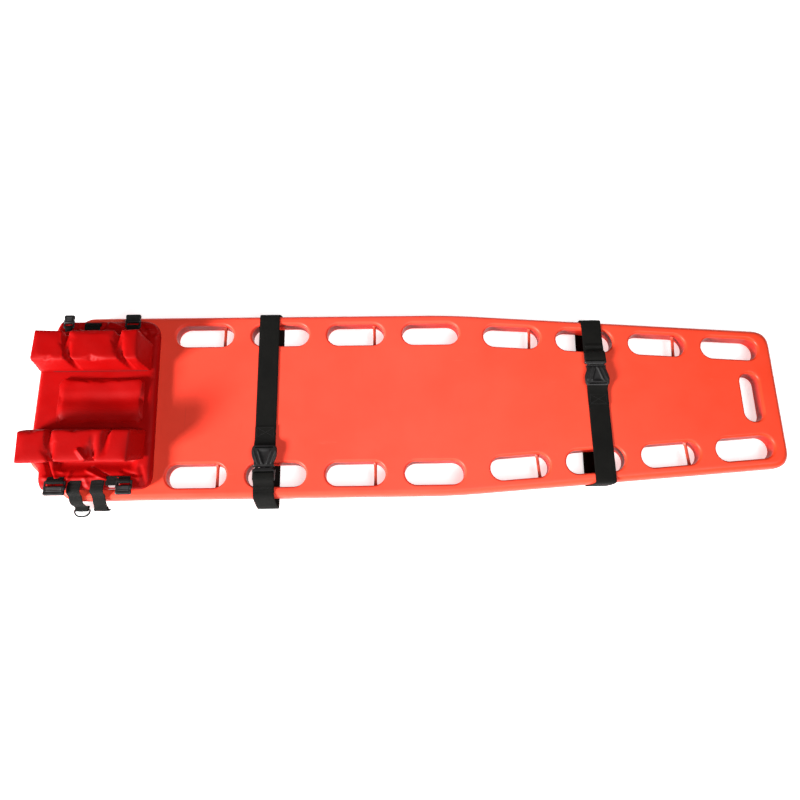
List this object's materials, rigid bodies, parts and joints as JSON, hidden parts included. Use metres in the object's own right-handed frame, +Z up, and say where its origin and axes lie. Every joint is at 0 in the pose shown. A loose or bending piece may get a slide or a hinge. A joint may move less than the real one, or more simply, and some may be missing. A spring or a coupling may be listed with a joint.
{
  "type": "spine board",
  "caption": "Long rescue board with hand slots along both rails, strap pins, body straps with side-release buckles, and a padded head immobiliser at one end.",
  "frame": {"origin": "on the underside of the middle runner, in the middle of the board's width and 920 mm from its foot end, near the middle of its length", "axes": "+X from the head end to the foot end, +Y to the patient's left as they lie on their back, +Z up through the lying surface"},
  "size_m": [1.818, 0.499, 0.141],
  "materials": {
    "board_plastic": "moulded satin",
    "foam": "matte",
    "pin_plastic": "satin",
    "webbing": "woven",
    "buckle_plastic": "satin",
    "pad_skin": "glossy coated",
    "hook_loop": "matte",
    "ring_metal": "satin"
  },
  "bodies": {
    "board": {"board_shell": "board_plastic", "fill_plug": "board_plastic", "foam_core": "foam", "strap_pin_1": "pin_plastic", "strap_pin_2": "pin_plastic", "strap_pin_3": "pin_plastic", "strap_pin_4": "pin_plastic", "strap_pin_5": "pin_plastic", "strap_pin_6": "pin_plastic", "strap_pin_7": "pin_plastic", "strap_pin_8": "pin_plastic", "strap_1_webbing": "webbing", "strap_1_socket": "buckle_plastic", "strap_2_webbing": "webbing", "strap_2_socket": "buckle_plastic", "head_base_pad": "pad_skin", "head_rest_pad": "pad_skin", "loop_strip_far": "hook_loop", "loop_strip_near": "hook_loop", "forehead_tab_near": "webbing", "forehead_tab_far": "webbing", "chin_tab_near": "webbing", "chin_tab_far": "webbing", "board_strap_1": "webbing", "board_strap_2": "webbing", "board_strap_1_far": "webbing"},
    "block_far": {"head_block_far": "pad_skin", "hook_patch_far": "hook_loop"},
    "block_near": {"head_block_near": "pad_skin", "hook_patch_near": "hook_loop"},
    "clip_1": {"strap_1_clip": "buckle_plastic", "strap_1_tail": "webbing"},
    "clip_2": {"strap_2_clip": "buckle_plastic", "strap_2_tail": "webbing"},
    "ring_1": {"board_ring_1": "ring_metal"},
    "ring_2": {"board_ring_2": "ring_metal"},
    "forehead_buckle_near": {"forehead_buckle_near": "buckle_plastic"},
    "forehead_buckle_far": {"forehead_buckle_far": "buckle_plastic"},
    "chin_buckle_near": {"chin_buckle_near": "buckle_plastic"},
    "chin_buckle_far": {"chin_buckle_far": "buckle_plastic"}
  },
  "joints": [
    {"name": "block_far_adjust", "type": "slide", "parent": "board", "child": "block_far", "axis": [0, 1, 0], "range_m": [-0.006, 0.018]},
    {"name": "block_near_adjust", "type": "slide", "parent": "board", "child": "block_near", "axis": [0, -1, 0], "range_m": [-0.006, 0.018]},
    {"name": "strap_1_unclip", "type": "slide", "parent": "board", "child": "clip_1", "axis": [0, -1, 0], "range_m": [0, 0.035]},
    {"name": "strap_2_unclip", "type": "slide", "parent": "board", "child": "clip_2", "axis": [0, 1, 0], "range_m": [0, 0.035]},
    {"name": "ring_1_swing", "type": "hinge", "parent": "board", "child": "ring_1", "pos_m": [-0.772, -0.247, 0.0052], "axis": [-1, 0, 0], "range_deg": [0, 90]},
    {"name": "ring_2_swing", "type": "hinge", "parent": "board", "child": "ring_2", "pos_m": [-0.718, -0.25, 0.026], "axis": [-1, 0, 0], "range_deg": [-35, 80]},
    {"name": "forehead_near_swing", "type": "hinge", "parent": "board", "child": "forehead_buckle_near", "pos_m": [-0.81, -0.193, 0.0807], "axis": [-1, 0, 0], "range_deg": [0, 80]},
    {"name": "forehead_far_swing", "type": "hinge", "parent": "board", "child": "forehead_buckle_far", "pos_m": [-0.823, 0.189, 0.0807], "axis": [1, 0, 0], "range_deg": [0, 80]},
    {"name": "chin_near_swing", "type": "hinge", "parent": "board", "child": "chin_buckle_near", "pos_m": [-0.652, -0.193, 0.0807], "axis": [-1, 0, 0], "range_deg": [0, 80]},
    {"name": "chin_far_swing", "type": "hinge", "parent": "board", "child": "chin_buckle_far", "pos_m": [-0.667, 0.189, 0.0807], "axis": [1, 0, 0], "range_deg": [0, 80]}
  ]
}
